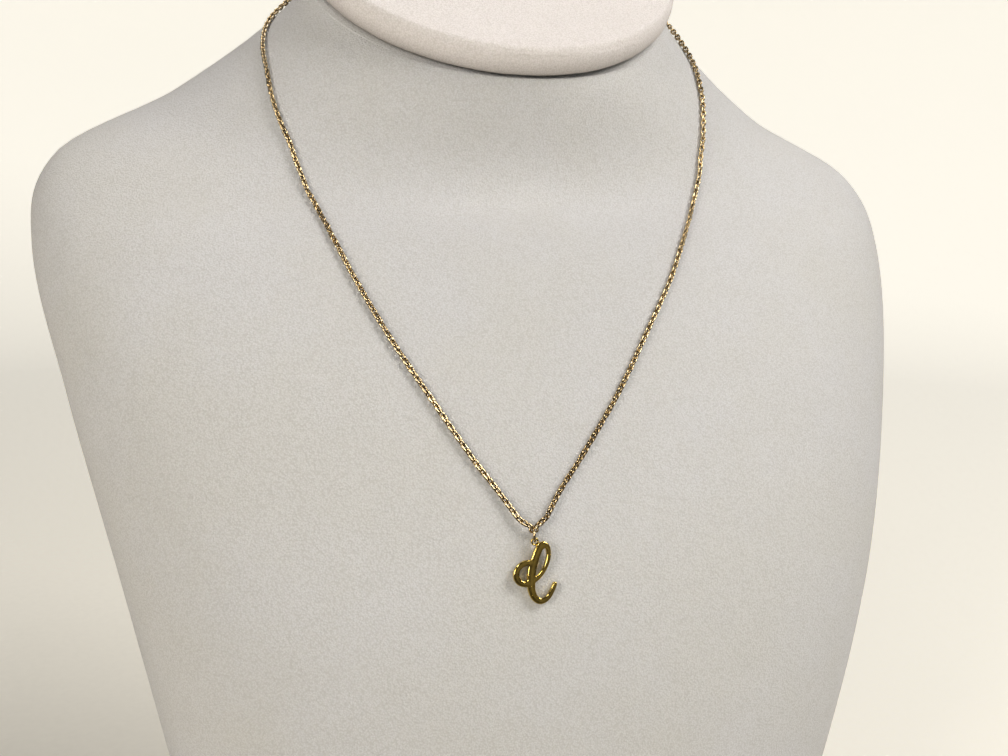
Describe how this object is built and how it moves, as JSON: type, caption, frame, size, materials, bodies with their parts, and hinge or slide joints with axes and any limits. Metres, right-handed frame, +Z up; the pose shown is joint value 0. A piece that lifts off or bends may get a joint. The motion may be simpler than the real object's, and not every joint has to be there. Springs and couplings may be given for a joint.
{
  "type": "initial pendant necklace on a neck bust display",
  "caption": "Fine cable chain with a flat script initial on a jump ring, worn round a padded neck bust with a flat foot and a round padded cap.",
  "frame": {"origin": "middle of the flat foot that the neck bust stands on", "axes": "+Z up through the neck, -Y out of the chest towards the viewer, +X towards the right-hand shoulder seen from the front"},
  "size_m": [0.2186, 0.1307, 0.2976],
  "materials": {
    "leatherette": "matt, fine grain",
    "gold": "polished"
  },
  "bodies": {
    "root": {"neck_bust": "leatherette", "neck_cap": "leatherette", "chain": "gold", "clasp": "gold", "jump_ring": "gold", "initial_pendant": "gold"}
  },
  "joints": []
}
